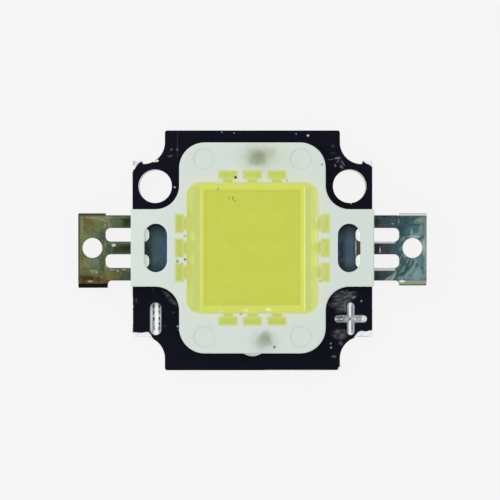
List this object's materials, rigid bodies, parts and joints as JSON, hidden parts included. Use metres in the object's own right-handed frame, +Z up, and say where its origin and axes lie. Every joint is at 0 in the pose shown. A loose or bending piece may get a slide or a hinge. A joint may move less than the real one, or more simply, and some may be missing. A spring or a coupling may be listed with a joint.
{
  "type": "chip-on-board led module",
  "caption": "Flat square power LED: black metal plate with corner notches and fixing holes, white moulded frame round yellow phosphor gel, and a slotted metal lead on each side.",
  "frame": {"origin": "middle of the plate's flat underside", "axes": "+X towards the plus lead, +Y towards the two fixing holes, +Z up towards the light"},
  "size_m": [0.0288, 0.02, 0.0027],
  "materials": {
    "black_plate": "satin",
    "white_plastic": "satin",
    "lead_metal_minus": "satin",
    "lead_metal_plus": "satin",
    "phosphor_silicone": "satin",
    "chip_crystal": "gloss",
    "die_adhesive": "matte",
    "gold_wire": "polished"
  },
  "bodies": {
    "root": {"base_plate": "black_plate", "moulded_frame": "white_plastic", "lead_negative": "lead_metal_minus", "lead_positive": "lead_metal_plus", "phosphor_gel": "phosphor_silicone", "led_chip_1_1": "chip_crystal", "led_chip_1_2": "chip_crystal", "led_chip_1_3": "chip_crystal", "led_chip_2_1": "chip_crystal", "led_chip_2_2": "chip_crystal", "led_chip_2_3": "chip_crystal", "led_chip_3_1": "chip_crystal", "led_chip_3_2": "chip_crystal", "led_chip_3_3": "chip_crystal", "die_bond_1_1": "die_adhesive", "die_bond_1_2": "die_adhesive", "die_bond_1_3": "die_adhesive", "die_bond_2_1": "die_adhesive", "die_bond_2_2": "die_adhesive", "die_bond_2_3": "die_adhesive", "die_bond_3_1": "die_adhesive", "die_bond_3_2": "die_adhesive", "die_bond_3_3": "die_adhesive", "bond_wire_1_1": "gold_wire", "bond_wire_1_2": "gold_wire", "bond_wire_1_3": "gold_wire", "bond_wire_1_4": "gold_wire", "bond_wire_2_1": "gold_wire", "bond_wire_2_2": "gold_wire", "bond_wire_2_3": "gold_wire", "bond_wire_2_4": "gold_wire", "bond_wire_3_1": "gold_wire", "bond_wire_3_2": "gold_wire", "bond_wire_3_3": "gold_wire", "bond_wire_3_4": "gold_wire"}
  },
  "joints": []
}
